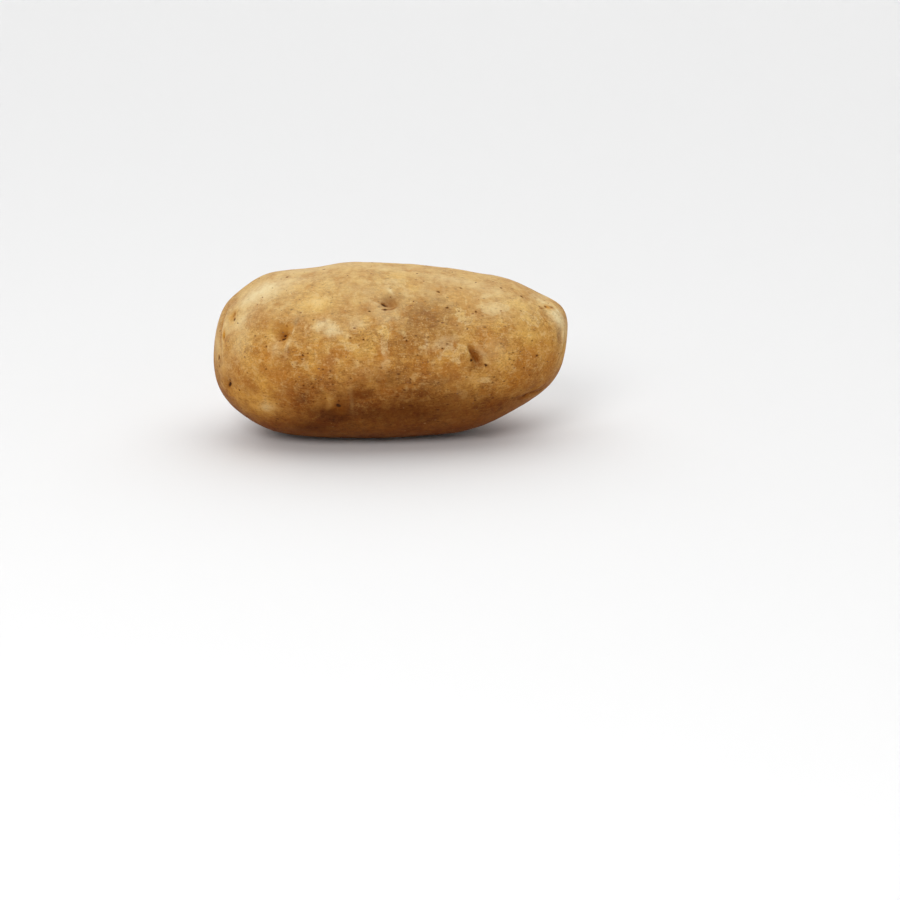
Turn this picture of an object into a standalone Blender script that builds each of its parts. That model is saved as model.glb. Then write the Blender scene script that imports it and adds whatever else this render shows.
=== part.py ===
# A whole russet potato, one solid, lying on a small flat spot.
# Metres, +Z up. +X runs along its length towards the stem end, and -Y is its front.
from collections import namedtuple
from math import cos, pi, radians, sin, tan

import bmesh
import bpy
import numpy as np
from mathutils import Vector

NAME = "potato"

# Overall sizes.
LENGTH = 0.128
DEPTH = 0.070
HEIGHT = 0.0628

# Heights of the bud end's and the stem end's tips.
BUD_TIP_HEIGHT = 0.0262
STEM_TIP_HEIGHT = 0.0412

# How much of the round underside the flat spot takes off.
REST_CUT = 0.0006

# Skin: linear red, green and blue, and roughness.
SKIN_COLOUR = (0.440, 0.205, 0.053, 1)
SKIN_ROUGHNESS = 0.62

# The box that is rounded into the potato: how much longer it is than wide, and its cells.
BOX_RATIO = 1.4
CELLS_ACROSS = 18
BLOCKS_ALONG = 2

# In half sizes of an eye's hollow, from its middle: how far the finer cells reach, how far the ridge
# of the brow lies, and the half length and half width of that ridge.
FINE_REACH = 1.9
BROW_OFFSET = 1.6
BROW_HALF_LENGTH = 1.2
BROW_HALF_WIDTH = 0.7

# Outline at its sections: how far along as a share of the length, the top and the bottom line as
# shares of the height, and the front and the back line as shares of half the depth.
Section = namedtuple("Section", "along top bottom front back")
SECTIONS = (
    Section(0.017, 0.690, 0.280, 0.37, 0.38),
    Section(0.067, 0.829, 0.158, 0.66, 0.63),
    Section(0.146, 0.935, 0.058, 0.86, 0.81),
    Section(0.250, 0.967, 0.014, 0.97, 0.92),
    Section(0.370, 1.002, 0.004, 1.00, 0.98),
    Section(0.500, 0.994, 0.002, 0.98, 1.01),
    Section(0.630, 0.972, 0.014, 0.93, 1.00),
    Section(0.750, 0.934, 0.060, 0.84, 0.93),
    Section(0.854, 0.882, 0.166, 0.73, 0.79),
    Section(0.933, 0.804, 0.270, 0.55, 0.58),
    Section(0.983, 0.752, 0.425, 0.31, 0.31),
)

# A mark is placed by its distance along from the bud end and its angle round, in degrees from the
# front up over the top. Its turn is in degrees from lengthwise, the same way round.
Swell = namedtuple("Swell", "along around length width rise")
SWELLS = (
    Swell(0.036, 95, 0.016, 0.050, -0.0005),
    Swell(0.030, 20, 0.040, 0.034, 0.0006),
    Swell(0.095, 200, 0.050, 0.040, 0.0010),
    Swell(0.050, 150, 0.030, 0.036, -0.0009),
    Swell(0.104, -10, 0.034, 0.026, -0.0006),
)

# An eye is an oval hollow with a raised brow along one side. Folds and grooves are long thin ones.
Eye = namedtuple("Eye", "along around length width depth turn brow")
EYES = (
    Eye(0.0250, 31, 0.0085, 0.0065, 0.0012, 225, 0.0005),
    Eye(0.0635, 49, 0.0080, 0.0055, 0.0010, 20, 0.0004),
    Eye(0.0930, 12, 0.0085, 0.0036, 0.0010, 110, 0.0003),
    Eye(0.0463, -23, 0.0080, 0.0045, 0.0006, 270, 0.0004),
    Eye(0.0069, -20, 0.0060, 0.0045, 0.0008, 100, 0.0003),
    Eye(0.0083, 43, 0.0050, 0.0040, 0.0006, 60, 0.0002),
    Eye(0.0034, 31, 0.0130, 0.0050, 0.0007, 90, 0.0003),
    Eye(0.1213, 86, 0.0050, 0.0040, 0.0004, 0, 0.0001),
    Eye(0.1253, 8, 0.0100, 0.0040, 0.0005, 95, 0.0002),
    Eye(0.1141, -38, 0.0110, 0.0040, 0.0006, 210, 0.0003),
    Eye(0.0400, 164, 0.0080, 0.0060, 0.0011, 15, 0.0004),
    Eye(0.0740, 199, 0.0085, 0.0050, 0.0010, -20, 0.0004),
    Eye(0.1040, 146, 0.0080, 0.0045, 0.0009, 35, 0.0004),
    Eye(0.0200, 232, 0.0075, 0.0055, 0.0010, 140, 0.0004),
    Eye(0.0910, 262, 0.0080, 0.0050, 0.0008, 10, 0.0003),
)


def smooth_curve(knots, values):
    """Natural cubic spline through the values at the knots, as a function."""
    step = np.diff(knots)
    slope = np.diff(values, axis=0) / step[:, None]
    last = len(knots) - 1
    system = np.eye(last + 1)
    right = np.zeros_like(values)
    for i in range(1, last):
        system[i, i - 1 : i + 2] = step[i - 1], 2 * (step[i - 1] + step[i]), step[i]
        right[i] = 6 * (slope[i] - slope[i - 1])
    bend = np.linalg.solve(system, right)

    def value(at):
        i = np.clip(np.searchsorted(knots, at) - 1, 0, last - 1)
        width = step[i][:, None]
        a = (knots[i + 1] - at)[:, None] / width
        b = 1 - a
        curve = ((a**3 - a) * bend[i] + (b**3 - b) * bend[i + 1]) * width**2 / 6
        return a * values[i] + b * values[i + 1] + curve

    return value


def section_curves():
    """Middle height, half height, front and back of the sections, against the angle from the bud end."""
    along, top, bottom, front, back = np.array(SECTIONS).T
    angle = np.arccos(1 - 2 * along)
    reach = np.stack([(top - bottom) * HEIGHT, front * DEPTH, back * DEPTH], axis=1) / 2
    reach /= np.sin(angle)[:, None]
    middle = (top + bottom) * HEIGHT / 2
    values = np.column_stack(
        [
            np.concatenate([[BUD_TIP_HEIGHT], middle, [STEM_TIP_HEIGHT]]),
            np.vstack([reach[:1], reach, reach[-1:]]),
        ]
    )
    return smooth_curve(np.concatenate([[0], angle, [pi]]), values)


def plain_outline(directions):
    """Points of the potato without its marks, for unit directions of the rounded box."""
    x, y, z = directions.T
    middle, high, front, back = section_curves()(np.arccos(np.clip(-x, -1, 1))).T
    depth = y * np.where(y < 0, front, back)
    return np.stack([x * LENGTH / 2, depth, middle + z * high], axis=1)


def direction_of(along, around):
    """Unit direction of a mark's middle."""
    x = 2 * along / LENGTH - 1
    out = (1 - x * x) ** 0.5
    return x, -out * cos(radians(around)), out * sin(radians(around))


def skin_frame(mark, turn):
    """A mark's middle on the plain outline, then its lengthwise, sideways and outward directions."""
    step = 0.0005
    spots = (
        direction_of(mark.along, mark.around),
        direction_of(mark.along + step, mark.around),
        direction_of(mark.along, mark.around + 1),
    )
    middle, further, higher = (Vector(point) for point in plain_outline(np.array(spots)))
    onward = (further - middle).normalized()
    outward = onward.cross(higher - middle).normalized()
    upward = outward.cross(onward)
    lengthwise = cos(radians(turn)) * onward + sin(radians(turn)) * upward
    return middle, lengthwise, outward.cross(lengthwise), outward


def place_in_mark(points, mark, turn=0):
    """Each point's place in a mark: lengthwise and sideways in half sizes, and whether it is near."""
    middle, lengthwise, sideways, outward = skin_frame(mark, turn)
    offset = points - np.array(middle)
    u = offset @ np.array(lengthwise) / (mark.length / 2)
    v = offset @ np.array(sideways) / (mark.width / 2)
    near = np.abs(offset @ np.array(outward)) < max(mark.length, mark.width)
    return u, v, near, np.array(outward)


def swell_shift(points, swell):
    u, v, near, outward = place_in_mark(points, swell)
    bump = np.exp(-(u**2) - v**2) * near
    return bump[:, None] * outward * swell.rise


def eye_shift(points, eye):
    """The hollow of an eye, with its brow as a ridge beyond one long side."""
    u, v, near, outward = place_in_mark(points, eye, eye.turn)
    hollow = np.exp(-(u**2) - v**2) * near
    beyond = (v - BROW_OFFSET) / BROW_HALF_WIDTH
    ridge = np.exp(-((u / BROW_HALF_LENGTH) ** 2) - beyond**2) * near
    return (ridge * eye.brow - hollow * eye.depth)[:, None] * outward


def rounded_box():
    """A box of even cells, blown up into a ball."""
    mesh = bmesh.new()
    bmesh.ops.create_cube(mesh, size=2)
    lengthwise = [edge for edge in mesh.edges if edge.verts[0].co.x != edge.verts[1].co.x]
    bmesh.ops.subdivide_edges(mesh, edges=lengthwise, cuts=BLOCKS_ALONG - 1, use_grid_fill=True)
    bmesh.ops.subdivide_edges(mesh, edges=mesh.edges[:], cuts=CELLS_ACROSS - 1, use_grid_fill=True)
    for vertex in mesh.verts:
        x, y, z = (tan(value * pi / 4) for value in vertex.co)
        vertex.co = Vector((x * BOX_RATIO, y, z)).normalized()
    return mesh


def refine_at_eyes(mesh):
    """Splits the cells round the eyes, so that their hollows come out round."""
    mesh.verts.ensure_lookup_table()
    directions = np.array([vertex.co for vertex in mesh.verts])
    points = plain_outline(directions)
    fine = np.zeros(len(points), dtype=bool)
    for eye in EYES:
        u, v, near, _ = place_in_mark(points, eye, eye.turn)
        fine |= near & (np.hypot(u, v) < FINE_REACH)
    edges = [edge for edge in mesh.edges if all(fine[vertex.index] for vertex in edge.verts)]
    bmesh.ops.subdivide_edges(mesh, edges=edges, cuts=1, use_grid_fill=True)
    for vertex in mesh.verts:
        vertex.co.normalize()


def shape_potato(mesh):
    """Moves the ball's vertices to the outline, adds the marks and flattens the resting spot."""
    points = plain_outline(np.array([vertex.co for vertex in mesh.verts]))
    shift = sum(swell_shift(points, swell) for swell in SWELLS)
    shift = shift + sum(eye_shift(points, eye) for eye in EYES)
    points = points + shift
    low = points.min(axis=0)
    high = points.max(axis=0)
    target = np.array([LENGTH, DEPTH, HEIGHT + REST_CUT])
    points = (points - (low + high) / 2) * target / (high - low)
    points[:, 2] = np.maximum(points[:, 2] + target[2] / 2 - REST_CUT, 0)
    for vertex, point in zip(mesh.verts, points):
        vertex.co = point


def skin_material():
    material = bpy.data.materials.new("russet_skin")
    material.use_nodes = True
    shader = material.node_tree.nodes["Principled BSDF"]
    shader.inputs["Base Color"].default_value = SKIN_COLOUR
    shader.inputs["Roughness"].default_value = SKIN_ROUGHNESS
    shader.inputs["Metallic"].default_value = 0
    return material


def build():
    for item in list(bpy.data.objects):
        bpy.data.objects.remove(item, do_unlink=True)
    shape = rounded_box()
    refine_at_eyes(shape)
    shape_potato(shape)
    bmesh.ops.recalc_face_normals(shape, faces=shape.faces[:])
    mesh = bpy.data.meshes.new(NAME)
    shape.to_mesh(mesh)
    shape.free()
    mesh.shade_smooth()
    mesh.materials.append(skin_material())
    potato = bpy.data.objects.new(NAME, mesh)
    collection = bpy.data.collections.new(NAME)
    bpy.context.scene.collection.children.link(collection)
    collection.objects.link(potato)


build()
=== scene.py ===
from math import cos, radians, sin, tan, pi

import bmesh
import bpy
import numpy as np
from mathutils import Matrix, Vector, noise
from mathutils.bvhtree import BVHTree


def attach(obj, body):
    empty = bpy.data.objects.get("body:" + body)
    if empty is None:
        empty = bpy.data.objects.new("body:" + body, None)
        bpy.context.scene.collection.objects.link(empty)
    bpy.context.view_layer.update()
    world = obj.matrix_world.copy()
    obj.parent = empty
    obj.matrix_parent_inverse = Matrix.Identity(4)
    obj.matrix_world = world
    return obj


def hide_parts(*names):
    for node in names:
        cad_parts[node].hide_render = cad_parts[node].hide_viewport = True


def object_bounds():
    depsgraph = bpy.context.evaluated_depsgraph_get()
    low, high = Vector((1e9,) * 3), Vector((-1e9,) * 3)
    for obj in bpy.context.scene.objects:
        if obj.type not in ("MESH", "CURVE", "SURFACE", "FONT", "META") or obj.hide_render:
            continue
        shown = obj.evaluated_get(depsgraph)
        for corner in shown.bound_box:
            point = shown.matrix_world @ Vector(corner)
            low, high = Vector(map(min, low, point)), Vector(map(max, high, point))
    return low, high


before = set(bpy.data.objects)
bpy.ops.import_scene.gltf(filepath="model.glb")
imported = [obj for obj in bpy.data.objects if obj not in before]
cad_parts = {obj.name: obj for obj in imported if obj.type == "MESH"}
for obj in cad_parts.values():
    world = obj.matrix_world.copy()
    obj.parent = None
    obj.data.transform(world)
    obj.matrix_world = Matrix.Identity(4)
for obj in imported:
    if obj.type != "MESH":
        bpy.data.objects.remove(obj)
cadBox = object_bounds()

mm = 0.001
lowCorner = np.array(cadBox[0])
highCorner = np.array(cadBox[1])
potatoSize = highCorner - lowCorner
potatoMiddle = (lowCorner + highCorner) / 2
budEnd = lowCorner[0]  # x of the blunt end, the one with most eyes


def paint(red, green, blue):
    # a screen colour as the linear one that shaders take
    def linear(value):
        value /= 255
        return value / 12.92 if value <= 0.04045 else ((value + 0.055) / 1.055) ** 2.4

    return linear(red), linear(green), linear(blue), 1


class Wire:
    # one output of a node: sums on it add Math nodes to its tree
    def __init__(self, recipe, socket):
        self.recipe = recipe
        self.socket = socket

    def maths(self, operation, first, second=None):
        inputs = {0: first} if second is None else {0: first, 1: second}
        return self.recipe.node("ShaderNodeMath", {"operation": operation}, inputs)

    def __add__(self, other):
        return self.maths("ADD", self, other)

    def __radd__(self, other):
        return self.maths("ADD", other, self)

    def __sub__(self, other):
        return self.maths("SUBTRACT", self, other)

    def __rsub__(self, other):
        return self.maths("SUBTRACT", other, self)

    def __mul__(self, other):
        return self.maths("MULTIPLY", self, other)

    def __rmul__(self, other):
        return self.maths("MULTIPLY", other, self)

    def __abs__(self):
        return self.maths("ABSOLUTE", self)


class Recipe:
    # writes nodes into one tree
    def __init__(self, tree):
        self.tree = tree

    def node(self, kind, settings=None, inputs=None, output=0):
        made = self.tree.nodes.new(kind)
        for name, value in (settings or {}).items():
            setattr(made, name, value)
        for name, value in (inputs or {}).items():
            if isinstance(value, Wire):
                self.tree.links.new(value.socket, made.inputs[name])
            else:
                made.inputs[name].default_value = value
        return Wire(self, made.outputs[output]) if made.outputs else None

    def cloud(self, where, size, detail=4, roughness=0.55, twist=0.0, seed=0.0):
        # soft noise whose blobs are about that size in mm
        return self.node(
            "ShaderNodeTexNoise",
            {"noise_dimensions": "4D"},
            {
                "Vector": where,
                "W": seed,
                "Scale": 1 / (size * mm),
                "Detail": detail,
                "Roughness": roughness,
                "Distortion": twist,
            },
        )

    def step(self, value, low, high):
        # 0 below low, 1 above high, smooth between
        return self.node(
            "ShaderNodeMapRange",
            {"interpolation_type": "SMOOTHSTEP"},
            {"Value": value, "From Min": low, "From Max": high},
        )

    def clamp(self, value):
        return self.node("ShaderNodeClamp", None, {0: value})

    def blend(self, amount, first, second, way="MIX"):
        settings = {"data_type": "RGBA", "blend_type": way}
        return self.node("ShaderNodeMix", settings, {0: amount, 6: first, 7: second}, 2)

    def stretch(self, where, x, y, z):
        settings = {"operation": "MULTIPLY"}
        return self.node("ShaderNodeVectorMath", settings, {0: where, 1: (x, y, z)})

    def chance(self, low, high, seed):
        # a number of its own for every point
        settings = {"data_type": "FLOAT"}
        return self.node("FunctionNodeRandomValue", settings, {2: low, 3: high, "Seed": seed}, 1)

    def specks(self, where, size, ragged, crowd):
        # one dot, or none, in every cell of that size in mm
        settings = {"feature": "F1"}
        inputs = {"Vector": where, "Scale": 1 / (size * mm)}
        near = self.node("ShaderNodeTexVoronoi", settings, inputs)
        random = Wire(self, near.socket.node.outputs[1])  # a colour of its own for every cell
        own = self.node("ShaderNodeSeparateColor", None, {0: random})
        return self.step(near + ragged, 0.38, 0.2) * self.step(own + crowd, 0.65, 0.9)

    def channels(self, name):
        # the three channels of a colour attribute
        colour = self.node("ShaderNodeAttribute", {"attribute_name": name})
        split = self.node("ShaderNodeSeparateColor", None, {0: colour})
        return [Wire(self, output) for output in split.socket.node.outputs]


# The form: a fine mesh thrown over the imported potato, then worked like clay.

skinForm = {
    "cellsAcross": 70,  # of each long side of the box that is rounded
    "blocksAlong": 2,  # so there are twice as many along it
    "boxRatio": 1.4,
    "smoothRounds": 26,  # take out the flat facets of the frame
    "lumps": ((28, 0.3, 3), (11, 0.2, 7), (4.5, 0.08, 11), (1.7, 0.035, 17)),  # size, height, seed
    "floorFade": 2.0,  # the relief fades in over this height above the floor
    "fineReach": ((6.5, 2.2), (3.8, 1.5)),  # finer cells this far round an eye or a dot, twice
    "drift": (2.6, (21, 22, 23)),  # noise that bends the marks: size, and a seed for each axis
    "nibble": (0.9, (24, 25, 26)),  # the same, finer
    "markWander": (0.45, 0.22),  # how far the drift and the nibble bend an eye's strokes
    "patchWander": 1.6,  # how far the drift bends a patch
    "freckleTone": 0.75,
    "freckleWidth": 0.8,  # of its length
}
skinMap = {"columns": 3, "rows": 4, "gap": 0.02}  # for four long sides and two ends
markDepth = 12  # mm; a mark goes no deeper, so it never shows on the far side


def mapBoxSides(shape):
    # lays the box's six sides out side by side on the map that finishes are baked to
    gap = skinMap["gap"]
    layer = shape.loops.layers.uv.new("OFBake")
    rows = {(0, -1, 0): 0, (0, 0, 1): 1, (0, 1, 0): 2, (0, 0, -1): 3}
    for face in shape.faces:
        way = tuple(round(value) for value in face.normal)
        for loop in face.loops:
            x, y, z = ((value + 1) / 2 for value in loop.vert.co)
            if way in rows:
                column, row, width, u, v = 0, rows[way], 2, x, z if way[1] else y
            else:
                column, row, width, u, v = 2, 1 if way[0] < 0 else 2, 1, y, z
            across = (column + gap + u * (width - 2 * gap)) / skinMap["columns"]
            loop[layer].uv = (across, (row + gap + v * (1 - 2 * gap)) / skinMap["rows"])


def roundedBox(form):
    shape = bmesh.new()
    bmesh.ops.create_cube(shape, size=2)
    shape.normal_update()
    mapBoxSides(shape)
    longEdges = [edge for edge in shape.edges if edge.verts[0].co.x != edge.verts[1].co.x]
    blocks = form["blocksAlong"] - 1
    bmesh.ops.subdivide_edges(shape, edges=longEdges, cuts=blocks, use_grid_fill=True)
    cuts = form["cellsAcross"] - 1
    bmesh.ops.subdivide_edges(shape, edges=shape.edges[:], cuts=cuts, use_grid_fill=True)
    for vertex in shape.verts:
        x, y, z = (tan(value * pi / 4) for value in vertex.co)
        vertex.co = Vector((x * form["boxRatio"], y, z)).normalized()
    return shape


def frameSurface():
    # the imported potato, for rays to find
    copy = bmesh.new()
    copy.from_mesh(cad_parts["potato"].data)
    bmesh.ops.remove_doubles(copy, verts=copy.verts[:], dist=0.01 * mm)
    surface = BVHTree.FromBMesh(copy)
    copy.free()
    return surface


def wrap(shape, surface):
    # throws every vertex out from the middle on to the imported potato
    for vertex in shape.verts:
        way = Vector([part * size for part, size in zip(vertex.co, potatoSize)])
        vertex.co = surface.ray_cast(Vector(potatoMiddle), way.normalized())[0]


def refineRound(shape, spots):
    # splits the cells round the eyes and dots, each spot a middle and a reach
    shape.verts.index_update()
    points = np.array([vertex.co for vertex in shape.verts])
    near = np.zeros(len(points), dtype=bool)
    for middle, reach in spots:
        near |= np.linalg.norm(points - np.array(middle), axis=1) < reach
    edges = [edge for edge in shape.edges if all(near[vertex.index] for vertex in edge.verts)]
    bmesh.ops.subdivide_edges(shape, edges=edges, cuts=1, use_grid_fill=True)


def pointsOf(mesh):
    points = np.empty(len(mesh.vertices) * 3)
    mesh.vertices.foreach_get("co", points)
    return points.reshape(-1, 3)


def normalsOf(mesh):
    normals = np.empty(len(mesh.vertices) * 3)
    mesh.vertex_normals.foreach_get("vector", normals)
    return normals.reshape(-1, 3)


def movePoints(mesh, points):
    mesh.vertices.foreach_set("co", points.ravel())
    mesh.update()


def smoothPoints(mesh, rounds):
    # every vertex goes halfway to the middle of its neighbours, again and again
    points = pointsOf(mesh)
    edges = np.empty(len(mesh.edges) * 2, dtype=np.int32)
    mesh.edges.foreach_get("vertices", edges)
    start, end = edges.reshape(-1, 2).T
    count = len(points)
    near = np.bincount(start, minlength=count) + np.bincount(end, minlength=count)
    for _ in range(rounds):
        total = np.empty_like(points)
        for axis in range(3):
            total[:, axis] = np.bincount(start, points[end, axis], count)
            total[:, axis] += np.bincount(end, points[start, axis], count)
        points = (points + total / near[:, None]) / 2
    movePoints(mesh, points)


def cloudAt(points, size, seed):
    # soft noise, about -1 to 1, with blobs of that size in mm
    seedStep = 7.31  # each seed reads its own part of the noise
    scaled = points / (size * mm) + seed * seedStep
    return np.array([noise.fractal(point, 1.0, 2.0, 1) for point in scaled])


def driftAt(points, size, seeds):
    return np.stack([cloudAt(points, size, seed) for seed in seeds], axis=1)


def placeOn(surface, along, around, turn=0):
    # a spot on the skin: mm along from the bud end, degrees round from the front over the top
    start = Vector((budEnd + along * mm, 0, potatoMiddle[2]))
    way = Vector((0, -cos(radians(around)), sin(radians(around))))
    middle, outward, *_ = surface.ray_cast(start, way)
    onward = (Vector((1, 0, 0)) - outward * outward.x).normalized()
    upward = outward.cross(onward)
    first = cos(radians(turn)) * onward + sin(radians(turn)) * upward
    return {"middle": middle, "first": first, "second": outward.cross(first), "outward": outward}


# The skin's marks. Each group has a place, mm along and degrees around, and its strokes are ovals
# round it: tone, strength, rise, how far onward, how far up, length, width and turn.
# The tone colours the skin, and the rise lifts or presses it. Pale strokes on raised brows and
# ridges are skin colour and partly painted highlight; dark and rust strokes in folds, creases and
# eye hollows are skin colour and partly painted shade.

eyes = {
    "budSideEye": (
        (26.3, 22),
        ("orange", 0.75, -0.95, 0.7, 2.3, 7.6, 6.2, 70),
        ("rust", 0.95, -0.65, 0.2, 1.5, 4.2, 3.8, 60),
        ("black", 1.1, -0.30, 0.1, 0.0, 1.5, 1.2, 40),
        ("black", 0.75, -0.20, -1.2, -0.8, 0.8, 0.7, 0),
        ("black", 0.9, -0.20, 0.3, 1.7, 1.1, 0.8, 10),
        ("black", 0.5, 0.00, 1.5, 4.4, 0.9, 0.7, 0),
        ("dark", 0.6, 0.00, 2.9, 0.8, 0.9, 0.7, 0),
        ("grey", 0.8, -0.10, 5.2, 4.8, 2.4, 1.6, 50),
        ("pale", 0.55, 0.42, 1.2, -3.5, 5.6, 1.5, 58),
        ("pale", 0.35, 0.20, -2.8, -3.0, 5.0, 3.0, 40),
        ("pale", 0.9, 0.20, 4.0, 1.8, 2.6, 0.7, 78),
        ("gold", 0.3, 0.25, -3.9, 2.5, 6.5, 2.6, 75),
    ),
    "crownEye": (
        (61.8, 43),
        ("rust", 0.7, -1.05, 2.0, 1.5, 5.8, 5.2, 30),
        ("rust", 0.8, -0.30, 2.8, -0.8, 3.8, 1.5, 35),
        ("rust", 0.7, -0.25, 3.9, 1.6, 0.9, 4.6, 25),
        ("black", 0.8, -0.30, 0.1, 0.8, 2.2, 1.1, -15),
        ("black", 0.8, -0.30, 0.5, -1.7, 2.3, 0.9, 5),
        ("pale", 0.95, 0.30, 1.6, 6.6, 5.0, 1.2, -55),
        ("pale", 0.7, 0.10, 3.2, 11.5, 2.6, 2.0, 0),
        ("pale", 0.6, 0.12, 5.0, 9.6, 3.6, 0.8, -40),
        ("pale", 0.5, 0.10, -0.8, 8.2, 3.0, 0.8, -62),
        ("pale", 0.5, 0.10, 8.4, 4.6, 3.2, 0.8, -12),
        ("orange", 0.35, -0.10, 3.4, 1.0, 4.4, 3.2, 30),
        ("pale", 0.6, 0.10, 7.4, 7.4, 3.0, 1.4, -30),
        ("dark", 0.5, -0.10, 5.4, 3.6, 4.5, 2.0, 5),
        ("pale", 0.4, 0.18, -2.9, 0.6, 3.8, 0.9, -12),
        ("gold", 0.3, 0.30, 2.2, -4.2, 6.0, 2.0, 10),
    ),
    "stemSideEye": (
        (92.0, 6.5),
        ("rust", 1.3, -0.95, 1.1, 1.5, 7.8, 1.9, -58),
        ("rust", 0.9, -0.35, 2.0, -0.1, 4.4, 2.2, -62),
        ("black", 0.2, -0.15, 1.9, 0.3, 3.6, 1.0, -60),
        ("pale", 0.25, 0.40, 3.3, 2.6, 8.0, 1.9, -57),
        ("gold", 0.35, 0.25, -1.4, 1.9, 6.0, 1.8, -57),
        ("black", 0.9, -0.20, 0.0, 0.0, 1.2, 0.9, 60),
        ("black", 0.35, -0.05, 0.4, -1.0, 1.6, 1.3, 60),
        ("dark", 0.8, 0.00, 0.3, -3.2, 1.5, 1.2, 0),
        ("black", 0.85, -0.15, 5.3, -1.7, 1.5, 1.2, -20),
        ("dark", 0.6, 0.00, 4.8, 2.2, 1.3, 1.0, 0),
    ),
    "lowEye": (
        (45.6, -21.5),
        ("rust", 0.4, -0.40, 0.2, 0.6, 7.0, 4.6, 90),
        ("black", 0.9, -0.15, 0.2, 2.4, 0.9, 0.8, 0),
        ("black", 1.1, -0.30, 0.1, 0.2, 2.3, 1.4, -45),
        ("pale", 0.45, 0.38, 4.4, 2.4, 13.0, 1.5, -86),
        ("pale", 0.15, 0.20, -3.4, 1.4, 9.0, 1.6, 84),
    ),
    "budTipEye": (
        (6.9, -20),
        ("rust", 0.4, -0.55, 0.0, 0.0, 6.0, 4.0, 80),
        ("black", 1.1, -0.30, -0.1, -1.0, 2.2, 1.3, 75),
        ("black", 0.9, -0.20, 0.1, 1.0, 1.0, 0.8, 0),
    ),
    "budTopEye": (
        (8.4, 47),
        ("orange", 0.6, -0.45, -0.2, 1.4, 4.6, 3.6, 70),
        ("rust", 0.6, -0.15, 0.2, 1.6, 2.8, 1.2, 85),
        ("black", 0.75, -0.20, 0.3, -0.9, 0.9, 0.9, 0),
    ),
    "budFold": (
        (3.9, 24),
        ("rust", 0.6, -1.10, -0.2, 3.0, 15.0, 1.7, 90),
        ("pale", 0.5, 0.50, 1.9, 1.6, 14.0, 1.9, 90),
        ("ash", 0.5, 0.00, -1.6, 4.0, 12.0, 2.4, 90),
        ("rust", 0.7, -0.20, -0.2, -1.8, 1.6, 0.8, 90),
        ("black", 0.8, -0.30, -2.0, -5.0, 1.8, 0.9, 75),
        ("black", 0.5, -0.20, -2.4, -8.0, 1.4, 0.8, 80),
        ("gold", 0.3, 0.35, 0.5, -9.5, 7.0, 5.0, 60),
    ),
    "foldMark": (
        (5.0, 29.5),
        ("orange", 1.2, -0.20, 0.0, 0.4, 3.4, 1.7, 85),
        ("rust", 0.8, -0.15, 0.1, -0.5, 1.5, 0.9, 85),
    ),
    "stemDots": (
        (119.3, 69),
        ("gold", 1.2, -0.20, 0.0, -0.4, 9.0, 7.0, 10),
        ("orange", 0.9, 0.00, 0.8, -1.4, 3.4, 2.2, 0),
        ("black", 0.45, -0.20, 0.0, 3.0, 1.1, 0.9, 0),
        ("black", 0.55, -0.20, -0.2, -1.6, 1.3, 1.1, 0),
        ("rust", 1.2, -0.15, 2.2, -0.6, 1.5, 1.1, 0),
        ("rust", 1.1, -0.10, -1.8, -3.4, 1.2, 1.0, 0),
    ),
    # the knob's pale bulge is skin colour and partly painted highlight; its dark hollows are partly
    # painted shade
    "knob": (
        (124.6, 28),
        ("pale", 0.9, 0.55, 0.8, 8.0, 8.0, 6.0, 75),
        ("pale", 0.6, 0.15, 1.4, 12.5, 7.0, 7.0, 70),
        ("dark", 0.7, -0.60, -0.9, 1.2, 6.4, 3.4, 80),
        ("dark", 0.5, -0.35, 0.6, -0.5, 13.0, 1.0, 86),
        ("pale", 0.55, 0.40, 1.7, 0.2, 14.0, 1.2, 84),
        ("dark", 0.4, -0.28, 2.6, 0.0, 12.0, 0.8, 92),
        ("black", 0.7, -0.35, 2.6, -3.2, 1.6, 1.1, 20),
        ("pale", 0.35, 0.20, -0.8, -4.5, 7.0, 1.0, 84),
    ),
    "lowCrease": (
        (114.9, -38),
        ("dark", 0.7, -0.40, 0.0, 0.0, 11.0, 1.4, -8),
        ("dark", 0.5, -0.25, 2.6, 1.2, 5.0, 1.0, 14),
        ("black", 0.6, -0.25, -3.8, 0.1, 2.0, 1.2, 20),
        ("dark", 0.6, -0.20, -6.4, 0.9, 4.0, 1.6, -20),
        ("pale", 0.25, 0.40, 0.2, -1.9, 11.0, 1.8, -8),
    ),
}

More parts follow.
